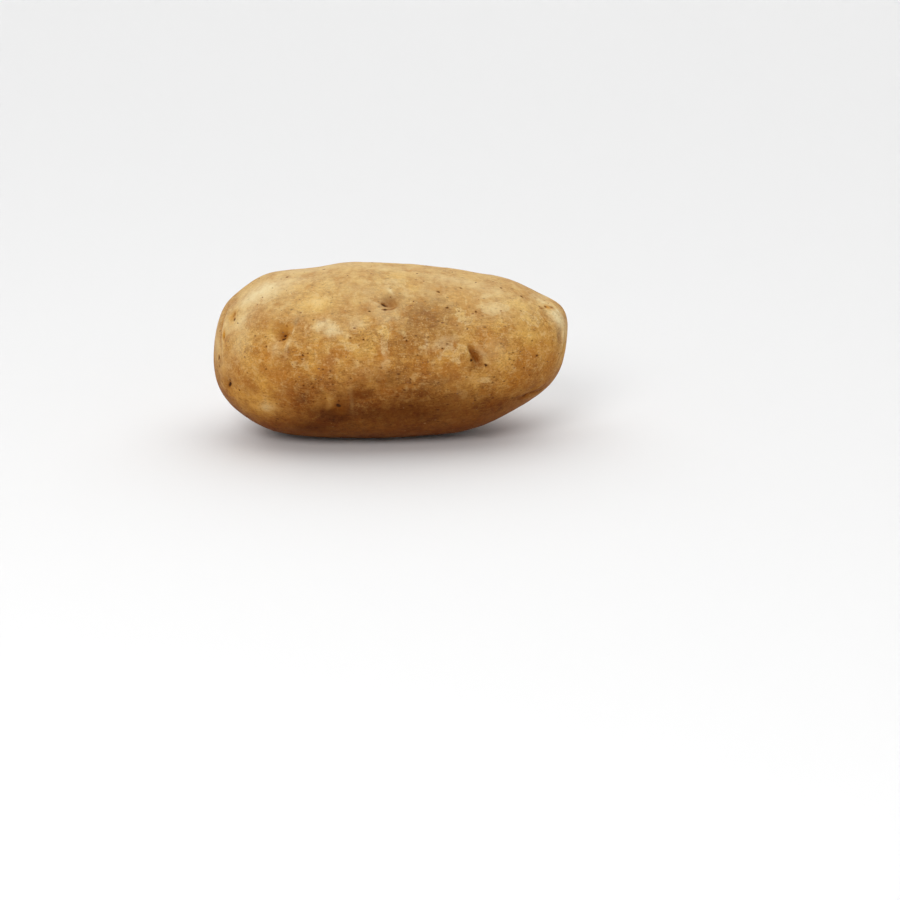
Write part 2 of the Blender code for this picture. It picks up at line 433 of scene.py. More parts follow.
# Eyes and folds on the sides that the front hides.
eyes.update(
    {
        "backBudEye": (
            (40, 165),
            ("orange", 0.7, -0.80, 0.4, 1.2, 8.0, 5.6, 15),
            ("rust", 0.9, -0.50, 0.2, 0.5, 4.4, 2.8, 15),
            ("black", 1.0, -0.35, 0.2, 0.0, 1.9, 1.0, 15),
            ("black", 0.8, -0.25, -1.7, -0.6, 1.0, 0.8, 0),
            ("pale", 0.6, 0.50, -0.4, 4.4, 9.0, 1.7, 18),
            ("pale", 0.4, 0.20, 4.6, 1.2, 3.4, 0.9, -30),
            ("gold", 0.5, 0.30, -0.2, -3.4, 8.0, 2.4, 12),
        ),
        "backMiddleEye": (
            (74, 199),
            ("rust", 0.7, -0.80, 0.3, -0.9, 8.0, 4.6, -20),
            ("rust", 0.8, -0.30, 0.8, -0.4, 4.6, 1.8, -22),
            ("black", 1.0, -0.35, 0.4, -0.1, 2.1, 0.9, -20),
            ("black", 0.7, -0.20, 3.0, -1.4, 1.0, 0.8, 0),
            ("pale", 0.55, 0.50, 0.8, 3.2, 9.0, 1.6, -22),
            ("pale", 0.4, 0.20, -3.8, -2.2, 3.0, 0.8, 40),
            ("gold", 0.5, 0.30, -0.8, -4.6, 7.0, 2.2, -16),
        ),
        "backStemEye": (
            (104, 148),
            ("orange", 0.6, -0.70, 0.2, -0.6, 7.6, 4.4, 35),
            ("rust", 0.8, -0.35, 0.2, -0.2, 4.0, 2.0, 35),
            ("black", 0.9, -0.30, 0.2, 0.1, 1.5, 0.9, 35),
            ("black", 0.7, -0.20, 1.9, 0.9, 1.0, 0.7, 0),
            ("pale", 0.5, 0.45, -1.2, 2.8, 8.0, 1.6, 36),
            ("pale", 0.3, 0.20, 3.4, -1.6, 3.0, 0.8, 70),
        ),
        "backSmallEye": (
            (62, 128),
            ("rust", 0.6, -0.50, 0.0, -0.3, 4.6, 3.0, -10),
            ("black", 0.8, -0.25, 0.1, 0.0, 1.4, 0.8, -10),
            ("pale", 0.4, 0.30, 0.2, 2.0, 5.0, 1.2, -12),
        ),
        "underBudEye": (
            (20, 230),
            ("rust", 0.7, -0.70, 0.0, 0.0, 6.5, 4.6, 140),
            ("black", 1.0, -0.40, 0.0, 0.1, 1.6, 0.9, 130),
            ("pale", 0.4, 0.40, -2.0, -2.0, 7.0, 1.6, 140),
        ),
        "underStemEye": (
            (91, 258),
            ("rust", 0.6, -0.45, 0.0, 0.0, 7.0, 4.0, 10),
            ("black", 0.9, -0.30, 0.2, 0.0, 1.7, 0.8, 10),
        ),
        "budCluster": (
            (5.5, 150),
            ("rust", 0.7, -0.45, 0.0, 0.0, 5.0, 4.0, 60),
            ("black", 0.9, -0.30, 0.2, 0.2, 1.2, 0.8, 40),
            ("black", 0.7, -0.20, -1.2, 1.6, 0.9, 0.7, 0),
            ("pale", 0.4, 0.30, 2.6, 0.4, 6.0, 1.2, 70),
        ),
    }
)

# Patches of colour alone: tone, strength, along, around, length, width and turn.
patches = (
    ("pale", 0.8, 19.0, 66, 17.0, 9.0, 15),
    # pale dusty cast over the top and the upper bud end, partly painted highlight where the light
    # falls
    ("veil", 0.9, 18.0, 64, 24.0, 14.0, 12),
    ("veil", 0.7, 7.5, 36, 9.0, 12.0, 60),
    ("veil", 0.6, 11.0, 18, 8.0, 11.0, 0),
    ("veil", 0.4, 4.0, 12, 6.0, 16.0, 0),
    ("veil", 0.7, 1.6, 30, 10.0, 24.0, 0),
    ("veil", 0.6, 38.0, 92, 30.0, 8.0, 0),
    ("veil", 0.4, 62.0, 40, 12.0, 8.0, 10),
    ("veil", 0.35, 102.0, 62, 22.0, 9.0, -8),
    ("veil", 0.4, 101.0, 14, 8.0, 8.0, 0),
    ("flake", 0.9, 100.5, 45, 9.0, 6.0, 15),
    ("flake", 0.8, 89.5, 36, 5.0, 7.0, 10),
    ("flake", 0.5, 85.0, 12, 12.0, 8.0, 0),
    ("flake", 0.8, 61.8, 18, 3.0, 13.0, 0),
    ("flake", 0.8, 42.5, 27, 8.0, 5.0, -15),
    ("flake", 0.6, 113.0, 40, 10.0, 6.0, -10),
    ("flake", 0.7, 66.0, 63, 9.0, 6.0, 0),
    ("flake", 0.6, 50.0, 16, 5.0, 4.0, 0),
    ("flake", 0.6, 20.0, 56, 10.0, 8.0, 0),
    ("flake", 0.35, 96.0, -9, 6.0, 6.0, 60),
    # low on the front: clinging earth and painted shade beneath the potato
    ("soil", 1.1, 45.0, -27, 18.0, 14.0, 10),
    ("soil", 0.9, 36.0, -42, 18.0, 10.0, 15),
    ("soil", 1.0, 70.0, -27, 46.0, 15.0, 0),
    ("soil", 0.6, 93.0, -31, 34.0, 11.0, 0),
    ("soil", 0.95, 52.5, -13, 16.0, 6.5, 8),
    ("soil", 0.7, 52.5, -7, 7.0, 4.0, 0),
    ("soil", 0.45, 62.0, -4, 16.0, 6.0, 0),
    ("dark", 0.5, 67.0, 1, 13.0, 5.0, 0),
    ("dark", 0.55, 84.0, 39, 8.0, 8.0, 0),
    ("dark", 0.35, 33.0, 9, 6.0, 5.0, 0),
    ("amber", 0.9, 96.2, 15, 5.0, 8.0, 60),
    ("dark", 0.4, 96.0, 15, 4.0, 7.0, 60),
    ("gold", 0.5, 102.0, 32, 8.0, 7.0, 0),
    ("pale", 0.35, 52.0, 30, 6.0, 5.0, 0),
    ("gold", 0.45, 52.0, 22, 14.0, 5.0, 0),
    ("gold", 0.45, 58.0, 15, 5.0, 6.0, 0),
    ("gold", 0.5, 102.5, -13, 10.0, 7.0, 10),
    ("pale", 0.6, 21.4, 61, 7.0, 5.0, 20),
    ("pale", 0.3, 29.0, 72, 16.0, 6.0, 5),
    ("gold", 0.5, 31.0, 62, 12.0, 7.0, 0),
    ("gold", 0.5, 10.0, 52, 8.0, 7.0, 60),
    ("pale", 0.4, 12.0, 40, 6.0, 8.0, 0),
    ("pale", 0.85, 43.1, 26, 6.5, 4.0, -15),
    ("pale", 0.6, 40.0, 30, 6.0, 4.0, 20),
    ("pale", 0.35, 48.5, 23, 3.0, 2.2, 0),
    ("gold", 0.5, 49.0, 17, 4.0, 3.0, 0),
    ("gold", 0.45, 52.5, 11, 3.4, 3.0, 0),
    ("gold", 0.9, 38.3, 45, 11.0, 6.5, 10),
    ("pale", 0.3, 38.0, 46, 7.0, 4.0, 10),
    ("gold", 0.5, 44.0, 42, 6.0, 4.5, 0),
    ("gold", 0.5, 33.0, 54, 6.0, 4.0, 30),
    # gold low on the bud end (here and at 9 and 12 mm along): skin colour and partly painted light
    # where light falls there
    ("gold", 1.3, 18.0, -27, 12.0, 10.0, 20),
    ("pale", 0.6, 20.0, -27, 7.0, 5.0, 10),
    ("gold", 0.6, 20.0, -9, 8.0, 9.0, 10),
    ("gold", 0.5, 36.5, 7, 3.2, 4.5, 0),
    ("gold", 0.5, 13.0, 10, 6.0, 10.0, 0),
    ("amber", 0.7, 32.0, 9, 9.0, 6.0, 10),
    ("amber", 0.4, 19.0, 8, 8.0, 6.0, 10),
    ("gold", 0.5, 43.0, -18, 4.0, 7.0, 30),
    ("dark", 0.55, 35.0, -9, 15.0, 7.0, 5),
    ("dark", 0.45, 42.0, -30, 14.0, 7.0, 0),
    ("dark", 0.35, 27.0, 10, 8.0, 4.0, -20),
    ("dark", 0.45, 54.0, -22, 10.0, 10.0, 0),
    ("grey", 0.85, 33.0, -17, 4.0, 3.8, 0),
    ("grey", 0.5, 31.1, 5.6, 2.2, 2.0, 0),
    ("ash", 0.5, 15.0, 37, 7.0, 8.0, 60),
    ("ash", 0.55, 31.0, 34, 7.0, 8.0, 0),
    ("ash", 0.6, 56.0, 52, 12.0, 8.0, 0),
    ("ash", 0.7, 80.0, 60, 11.0, 8.0, 10),
    ("grey", 0.6, 79.9, 49, 4.0, 2.4, -10),
    ("ash", 0.5, 55.0, 2, 9.0, 7.0, 0),
    ("ash", 0.4, 7.0, -2, 6.0, 14.0, 0),
    ("gold", 0.7, 71.1, 60, 5.0, 9.0, 10),
    ("gold", 0.6, 65.5, 72, 9.0, 6.0, 0),
    ("pale", 0.35, 61.0, 84, 26.0, 6.0, 0),
    ("pale", 0.4, 87.0, 72, 22.0, 5.0, -8),
    ("dark", 0.85, 76.0, 36, 15.0, 12.0, 0),
    ("dark", 0.4, 81.0, 47, 7.0, 5.0, 0),
    ("dark", 0.6, 71.0, 19, 12.0, 10.0, 0),
    ("dark", 0.45, 83.0, 22, 10.0, 12.0, 0),
    ("dark", 0.35, 66.0, -5, 10.0, 8.0, 0),
    ("gold", 0.75, 61.9, 24, 3.2, 7.0, 0),
    ("pale", 0.5, 61.7, 11, 2.6, 9.0, 0),
    ("gold", 0.4, 56.0, 32, 6.0, 6.0, 0),
    ("gold", 0.8, 89.3, 37, 4.6, 6.0, 10),
    ("pale", 0.35, 89.6, 35, 3.0, 3.6, 10),
    ("pale", 0.55, 100.5, 45, 9.0, 6.0, 15),
    ("ash", 0.5, 103.0, 38, 9.0, 5.0, 0),
    ("gold", 0.8, 108.0, 55, 10.0, 7.0, -10),
    ("gold", 0.5, 112.0, 38, 9.0, 6.0, -10),
    ("pale", 0.4, 97.0, 57, 7.0, 2.0, 25),
    ("pale", 0.35, 82.0, 17, 9.0, 4.0, 10),
    ("gold", 0.4, 84.0, 10, 7.0, 5.0, 0),
    ("pale", 0.55, 75.8, 16, 0.8, 4.6, 0),
    ("grey", 0.5, 79.6, 4, 3.5, 1.2, 5),
    ("grey", 0.5, 83.8, 5, 3.0, 1.2, 25),
    ("grey", 0.6, 80.0, -7, 12.0, 3.6, 5),
    ("dark", 0.6, 72.0, -14, 16.0, 6.0, 5),
    ("dark", 0.6, 93.0, 7, 9.0, 8.0, -60),
    ("dark", 0.3, 90.0, -17, 20.0, 5.0, 0),
    ("gold", 0.5, 95.0, -10, 7.0, 8.0, 70),
    # gold low on the bud end: skin colour and partly painted light
    ("gold", 0.9, 9.0, -26, 10.0, 12.0, 70),
    ("gold", 0.5, 12.0, -42, 9.0, 10.0, 0),
    ("pale", 0.35, 64.0, 33, 7.0, 3.5, 0),
    # pale, pale cast and gold at the stem tip: skin colour and painted light that lightens the tip
    ("pale", 1.0, 123.4, 60, 7.0, 5.0, 75),
    ("veil", 0.8, 126.6, 48, 9.0, 9.0, 90),
    ("gold", 0.6, 126.2, 0, 10.0, 12.0, 90),
    ("gold", 0.5, 103.5, 9, 7.0, 9.0, 20),
    ("pale", 0.3, 96.0, -9, 3.0, 9.0, 80),
    ("gold", 0.5, 113.0, 24, 12.0, 8.0, 0),
    ("gold", 0.4, 119.0, 44, 8.0, 6.0, 0),
    ("amber", 0.6, 108.0, -14, 12.0, 8.0, 30),
    ("amber", 0.5, 112.0, 6, 8.0, 10.0, 0),
    ("amber", 0.5, 120.0, -6, 8.0, 12.0, 0),
    ("amber", 0.5, 26.0, -3, 10.0, 6.0, 0),
    ("amber", 0.5, 88.0, 52, 9.0, 5.0, 0),
)
# More of them, drawn by chance on the back and underneath.
hiddenPatches = {
    "seed": 12,
    "count": 88,
    "around": (100, 262),
    "tones": "gold flake dark veil ash amber dark pale gold dark soil".split(),
    "strength": (0.25, 0.8),
    "length": (4, 16),
    "width": (2.5, 9),
}
# Single dark dots: along, around and length.
freckles = (
    (68.8, 21, 1.0),
    (69.4, 19, 0.9),
    (81.7, 15, 0.9),
    (88.7, 62.5, 0.9),
    (80.9, 56, 1.0),
    (83.9, 43, 1.1),
    (93.8, 41, 0.8),
    (110.5, 65, 1.2),
    (103.5, 70, 0.9),
    (115.5, 7.3, 1.2),
    (111.0, -2, 0.8),
    (70.8, -4, 0.8),
    (27.2, 79, 1.1),
    (40.1, 86, 0.9),
    (10.6, -20, 0.9),
    (33.4, 11, 1.0),
    (35.2, 12.5, 0.7),
    (20.5, 17, 0.8),
    (37.0, -8, 1.3),
    (33.5, -6.5, 1.0),
    (30.8, -4.5, 0.9),
    (41.0, -15, 1.0),
    (36.4, -17, 0.8),
    (48.6, -14, 0.8),
    (52.0, -18, 0.9),
    (56.5, 38, 0.8),
    (49.8, 21, 0.8),
    (54.5, 20, 0.7),
    (22.0, 118, 1.0),
    (33.5, 142, 0.9),
    (35.0, 145, 0.8),
    (50.5, 187, 1.1),
    (53.0, 184, 0.8),
    (66.5, 158, 1.0),
    (71.0, 111, 0.9),
    (86.0, 176, 1.1),
    (88.5, 179, 0.8),
    (97.0, 205, 0.9),
    (112.0, 168, 1.0),
    (118.5, 122, 0.9),
    (27.5, 196, 1.0),
    (14.0, 176, 0.9),
)
# The tones that each colour attribute carries in its three channels.
toneMaps = {
    "skinPaint": ("pale", "gold", "dark"),
    "skinTint": ("ash", "amber", "grey"),
    "skinStain": ("rust", "black", "orange"),
    "skinWearShadeAndHighlight": ("soil", "veil", "flake"),
}


def strokeShare(points, spot, length, width):
    # 1 in the middle of an oval, falling softly to 0 round it
    offset = points - np.array(spot["middle"])
    u = offset @ np.array(spot["first"]) / (length * mm / 2)
    v = offset @ np.array(spot["second"]) / (width * mm / 2)
    deep = np.abs(offset @ np.array(spot["outward"])) < markDepth * mm
    return np.exp(-(u * u + v * v)) * deep


def strokeSpot(place, stroke):
    # where a stroke lies, from its group's place
    onward, up, turn = stroke[3], stroke[4], radians(stroke[7])
    middle = place["middle"] + place["first"] * onward * mm + place["second"] * up * mm
    first = cos(turn) * place["first"] + sin(turn) * place["second"]
    second = place["outward"].cross(first)
    return {"middle": middle, "first": first, "second": second, "outward": place["outward"]}


def drawHiddenPatches(settings):
    draw = np.random.RandomState(settings["seed"])
    made = []
    for _ in range(settings["count"]):
        tone = settings["tones"][draw.randint(len(settings["tones"]))]
        strength = draw.uniform(*settings["strength"])
        along = draw.uniform(3, potatoSize[0] / mm - 3)
        around = draw.uniform(*settings["around"])
        length = draw.uniform(*settings["length"])
        width = draw.uniform(*settings["width"])
        made.append((tone, strength, along, around, length, width, draw.uniform(0, 180)))
    return tuple(made)


def storeTones(mesh, tones):
    for name, channels in toneMaps.items():
        layer = mesh.color_attributes.new(name, "FLOAT_COLOR", "POINT")
        values = np.ones((len(mesh.vertices), 4))
        for channel, tone in enumerate(channels):
            values[:, channel] = np.clip(tones[tone], 0, 1)
        layer.data.foreach_set("color", values.ravel())


def makeSkinMesh(form):
    surface = frameSurface()
    shape = roundedBox(form)
    wrap(shape, surface)
    places = {name: placeOn(surface, *marks[0]) for name, marks in eyes.items()}
    dots = [placeOn(surface, along, around) for along, around, size in freckles]
    for eyeReach, dotReach in form["fineReach"]:
        spots = [(place["middle"], eyeReach * mm) for place in places.values()]
        refineRound(shape, spots + [(dot["middle"], dotReach * mm) for dot in dots])
    mesh = bpy.data.meshes.new("potatoSkin")
    shape.to_mesh(mesh)
    shape.free()
    smoothPoints(mesh, form["smoothRounds"])
    print("skin wrapped:", len(mesh.polygons), "faces")
    return mesh, surface, places


def workSkin(mesh, surface, places, form):
    # presses the eyes and folds in, lays the lumps and the tones on
    points = pointsOf(mesh)
    drift = driftAt(points, *form["drift"])
    nibble = driftAt(points, *form["nibble"])
    far, fine = form["markWander"]
    wavy = points + (drift * far + nibble * fine) * mm
    broad = points + drift * form["patchWander"] * mm
    tones = {tone: np.zeros(len(points)) for channels in toneMaps.values() for tone in channels}
    rise = np.zeros(len(points))
    for name, marks in eyes.items():
        for stroke in marks[1:]:
            share = strokeShare(wavy, strokeSpot(places[name], stroke), stroke[5], stroke[6])
            rise += share * stroke[2]
            tones[stroke[0]] = np.maximum(tones[stroke[0]], share * stroke[1])
    allPatches = patches + drawHiddenPatches(hiddenPatches)
    for tone, strength, along, around, length, width, turn in allPatches:
        share = strokeShare(broad, placeOn(surface, along, around, turn), length, width)
        tones[tone] = np.maximum(tones[tone], share * strength)
    for along, around, size in freckles:
        width = size * form["freckleWidth"]
        share = strokeShare(wavy, placeOn(surface, along, around), size, width)
        tones["black"] = np.maximum(tones["black"], share * form["freckleTone"])
    for size, height, seed in form["lumps"]:
        rise += cloudAt(points, size, seed) * height
    fade = np.clip(points[:, 2] / (form["floorFade"] * mm), 0, 1)
    points = points + normalsOf(mesh) * (rise * fade * mm)[:, None]
    points[:, 2] = np.maximum(points[:, 2], 0)
    movePoints(mesh, points)
    storeTones(mesh, tones)
    print("skin worked:", len(eyes), "eyes and folds,", len(allPatches), "patches")


# The skin's finish.

russet = {
    "colours": {
        "tan": paint(204, 160, 88),
        "brown": paint(172, 114, 48),
        "amber": paint(190, 128, 44),
        "ash": paint(178, 132, 82),
        "net": paint(112, 66, 26),
        "pale": paint(224, 205, 160),
        "gold": paint(220, 174, 88),
        "dark": paint(134, 80, 30),
        "rust": paint(126, 68, 13),
        "orange": paint(190, 132, 48),
        "straw": paint(226, 198, 140),
        "grey": paint(120, 92, 66),
        "black": paint(46, 26, 10),
        "speck": paint(90, 52, 22),
        # dusty pale paint and painted sheen, laid over the top
        "dustAndSheen": paint(213, 186, 131),
        # a pale dusty cast, partly painted highlight
        "veil": paint(226, 208, 164),
        # the skin's colours are multiplied by these three: painted shade below the middle, painted
        # shade near the floor, and clinging earth with painted shade
        "shadeBelowMiddle": (0.9, 0.76, 0.58, 1),  # painted shade below the middle
        "shadeNearFloor": (0.46, 0.3, 0.17, 1),  # painted shade near the floor
        "soil": (0.42, 0.3, 0.17, 1),  # clinging earth and painted shade, where those patches lie
    },
    # noises over the skin: size in mm, detail, roughness, twist and seed, and for some a stretch
    "clouds": {
        "big": (17, 5, 0.6, 0.4, 1),
        "middling": (5, 6, 0.62, 0.5, 2),
        "small": (1.6, 5, 0.6, 0.3, 3),
        "grain": (0.6, 3, 0.6, 0.0, 4),
        "streaks": (0.7, 4, 0.6, 0.2, 5, (0.25, 1, 1)),
        "scuffs": (6, 7, 0.7, 0.8, 6),
        "lengthwise": (1.5, 3, 0.6, 0.8, 7, (0.4, 1, 1)),
        "wear": (11, 3, 0.5, 0.0, 8),
        "crosswise": (1.7, 3, 0.6, 0.8, 10, (1, 0.5, 0.5)),
        "ashes": (8, 5, 0.6, 0.6, 12),
        "ambers": (6, 5, 0.6, 0.6, 13),
        "mottle": (2.8, 3, 0.6, 0.6, 15),
    },
    # how much of each layer shows
    "amounts": {
        "ashes": 0.4,
        "ambers": 0.45,
        "flaking": 0.18,
        "flakeEdge": 0.35,
        "grey": 0.8,
        "scuffs": 0.4,
        "netting": 0.5,
        "coarseSpecks": 0.75,
        "fineSpecks": 0.45,
        "dustAndPaintedSheen": 0.42,
        "veil": 0.45,
        "rust": 0.9,
        "pitRim": 0.65,
        "pit": 0.9,
    },
    # a noise darkens the skin where it is high and turns it straw where it is low:
    # the dark colour, where it starts and is full, how much, then the same for straw
    "texture": {
        "mottle": ("dark", 0.52, 0.72, 0.4, 0.48, 0.3, 0.4),
        "streaks": ("net", 0.54, 0.7, 0.4, 0.46, 0.3, 0.3),
        "grain": ("net", 0.55, 0.7, 0.4, 0.45, 0.3, 0.3),
    },
    "raggedness": (2.6, 2.2, 0.6),  # how much middling, small and grain break up the patches
    "flakeEdge": 0.33,  # thin skin peels where its patch is stronger than this
    "speckSizes": (2.0, 0.9),
    "roughness": 0.6,
    "shine": 0.06,
    "bump": 0.35,
    "bumpDepth": 0.25,
    "sheen": 0.015,
    "sheenRoughness": 0.4,
}


def cloudsOver(recipe, where, settings):
    made = {}
    for name, (size, detail, roughness, twist, seed, *stretch) in settings.items():
        place = recipe.stretch(where, *stretch[0]) if stretch else where
        made[name] = recipe.cloud(place, size, detail, roughness, twist, seed)
    return made


def russetSkin(look):
    material = bpy.data.materials.new("russetSkin")
    material.use_nodes = True
    shader = material.node_tree.nodes["Principled BSDF"]
    recipe = Recipe(material.node_tree)
    paints, amounts = look["colours"], look["amounts"]
    where = recipe.node("ShaderNodeTexCoord", output=3)
    level = recipe.node("ShaderNodeSeparateXYZ", None, {0: where}, 2) * (1 / potatoSize[2])
    pale, gold, dark = recipe.channels("skinPaint")
    ash, amber, grey = recipe.channels("skinTint")
    rust, black, orange = recipe.channels("skinStain")
    soil, veil, flake = recipe.channels("skinWearShadeAndHighlight")
    clouds = cloudsOver(recipe, where, look["clouds"])
    middling, small = clouds["middling"], clouds["small"]
    grain, streaks = clouds["grain"], clouds["streaks"]

    # the ground, then the patches with their edges broken up
    ground = recipe.step(clouds["big"] * 0.5 + middling * 0.5, 0.38, 0.6)
    colour = recipe.blend(ground, paints["brown"], paints["tan"])
    broad, close, fine = look["raggedness"]
    ragged = (middling - 0.5) * broad + (small - 0.5) * close + (grain - 0.5) * fine + 1
    ashes = recipe.step(clouds["ashes"], 0.5, 0.68) * amounts["ashes"]
    ambers = recipe.step(clouds["ambers"], 0.5, 0.68) * amounts["ambers"]
    layers = {
        "ash": ashes + ash * ragged,
        "amber": ambers + amber * ragged,
        "dark": dark * ragged,
        "gold": gold * ragged,
        "pale": pale * ragged,
    }
    for name, amount in layers.items():
        colour = recipe.blend(recipe.clamp(amount), colour, paints[name])

    # thin skin peeling, with a crisp pale edge
    flaky = flake * ragged
    flaking = recipe.step(flaky, look["flakeEdge"] - 0.09, look["flakeEdge"] + 0.09)
    edge = 1 - recipe.step(abs(flaky - look["flakeEdge"]), 0.0, 0.08)
    edge = edge * recipe.step(flake, 0.05, 0.2)
    colour = recipe.blend(flaking * amounts["flaking"], colour, paints["straw"])
    colour = recipe.blend(edge * amounts["flakeEdge"], colour, paints["pale"])
    colour = recipe.blend(recipe.clamp(grey * ragged) * amounts["grey"], colour, paints["grey"])
    scuffs = recipe.step(clouds["scuffs"], 0.58, 0.72)
    colour = recipe.blend(scuffs * amounts["scuffs"], colour, paints["straw"])

    # the russet net, stronger where the skin is worn
    lengthwise = 1 - recipe.step(abs(clouds["lengthwise"] - 0.5), 0.0, 0.05)
    crosswise = 1 - recipe.step(abs(clouds["crosswise"] - 0.5), 0.0, 0.035)
    worn = recipe.step(clouds["wear"] + dark * 0.5 - pale * 0.4, 0.35, 0.7)
    netting = (lengthwise + crosswise * 0.5) * (worn * 0.8 + 0.2)
    colour = recipe.blend(recipe.clamp(netting * amounts["netting"]), colour, paints["net"])
    for name, values in look["texture"].items():
        shade, dim, full, shading, light, lightest, lightening = values
        darker = recipe.step(clouds[name], dim, full) * shading
        colour = recipe.blend(darker, colour, paints[shade])
        lighter = recipe.step(clouds[name], light, lightest) * lightening
        colour = recipe.blend(lighter, colour, paints["straw"])
    coarseSize, fineSize = look["speckSizes"]
    coarse = recipe.specks(recipe.stretch(where, 0.6, 1, 1), coarseSize, small * 0.3, worn * 0.35)
    fine = recipe.specks(recipe.stretch(where, 0.5, 1, 1), fineSize, small * 0.3, worn * 0.35)
    specks = recipe.clamp(coarse * amounts["coarseSpecks"] + fine * amounts["fineSpecks"])
    colour = recipe.blend(specks, colour, paints["speck"])

    # dusty pale paint and painted sheen on top, painted shade lower down, earth and painted shade
    # where patches of it lie; level is 0 at the floor and 1 at the top
    dustAndPaintedSheen = recipe.step(level, 0.62, 1.0) * (ragged * 0.7 + 0.3) * (1 - dark * 0.6)
    colour = recipe.blend(recipe.clamp(dustAndPaintedSheen * amounts["dustAndPaintedSheen"]), colour, paints["dustAndSheen"])
    # pale dusty cast, partly painted highlight
    veilAndHighlightAmount = recipe.clamp(veil * (ragged * 0.5 + 0.5)) * amounts["veil"]
    colour = recipe.blend(veilAndHighlightAmount, colour, paints["veil"])
    # painted shade: darker below the middle
    colour = recipe.blend(recipe.step(level, 0.8, 0.3), colour, paints["shadeBelowMiddle"], "MULTIPLY")
    # painted shade: darker still near the floor, less where gold patches lie
    low = recipe.step(level, 0.58, 0.08) * (1 - gold * 0.6)
    colour = recipe.blend(low, colour, paints["shadeNearFloor"], "MULTIPLY")
    # clinging earth and painted shade where those patches lie
    soilAndShadeAmount = recipe.clamp(soil * (ragged * 0.4 + 0.6) * (1 - gold * 0.5))
    colour = recipe.blend(soilAndShadeAmount, colour, paints["soil"], "MULTIPLY")

    # the eyes: an orange and rust hollow, and a black pit with a rusty rim
    colour = recipe.blend(recipe.clamp(orange * (ragged * 0.5 + 0.5)), colour, paints["orange"])
    hollow = recipe.clamp(rust * (ragged * 0.5 + 0.5)) * amounts["rust"]
    colour = recipe.blend(hollow, colour, paints["rust"])
    colour = recipe.blend(recipe.step(black, 0.02, 0.4) * amounts["pitRim"], colour, paints["rust"])
    pit = recipe.step(black + (small - 0.5) * 0.6, 0.3, 0.75) * amounts["pit"]
    colour = recipe.blend(pit, colour, paints["black"])

    relief = small * 0.5 + grain * 0.35 + streaks * 0.2
    relief = relief - netting * 0.25 - specks * 0.3 + flaking * 0.2
    depth = look["bumpDepth"] * mm
    bumpInputs = {"Strength": look["bump"], "Distance": depth, "Height": relief}
    bump = recipe.node("ShaderNodeBump", None, bumpInputs)
    rough = look["roughness"] + (small - 0.5) * 0.2 + specks * 0.1 - pale * 0.05
    links = material.node_tree.links
    links.new(colour.socket, shader.inputs["Base Color"])
    links.new(rough.socket, shader.inputs["Roughness"])
    links.new(bump.socket, shader.inputs["Normal"])
    shader.inputs["Sheen Weight"].default_value = look["sheen"]
    shader.inputs["Sheen Roughness"].default_value = look["sheenRoughness"]
    shader.inputs["Sheen Tint"].default_value = paints["dustAndSheen"]
    shader.inputs["Specular IOR Level"].default_value = look["shine"]
    return material


# Corky pores, scattered over the skin.

pores = {
    "seed": 5,
    "apart": 1.6 * mm,
    "density": 12000.0,
    "size": 0.22 * mm,
    "smallest": 0.45,  # of that size
    "largest": 1.35,
    "shortest": 0.8,  # times their width
    "longest": 2.2,
    "lengthSeed": 31,
    "flatness": 0.25,
    "sides": 8,  # of each bead
    "rings": 4,
    "offFloor": 0.6 * mm,
    "darkCork": paint(104, 62, 28),
    "lightCork": paint(156, 108, 56),
    "roughness": 0.75,
}


poreInputs = {
    "Apart": "apart",
    "Density": "density",
    "Size": "size",
    "Smallest": "smallest",
    "Largest": "largest",
    "Shortest": "shortest",
    "Longest": "longest",
    "Flatness": "flatness",
    "Off Floor": "offFloor",
    "Sides": "sides",
    "Rings": "rings",
    "Seed": "seed",
    "Length Seed": "lengthSeed",
}


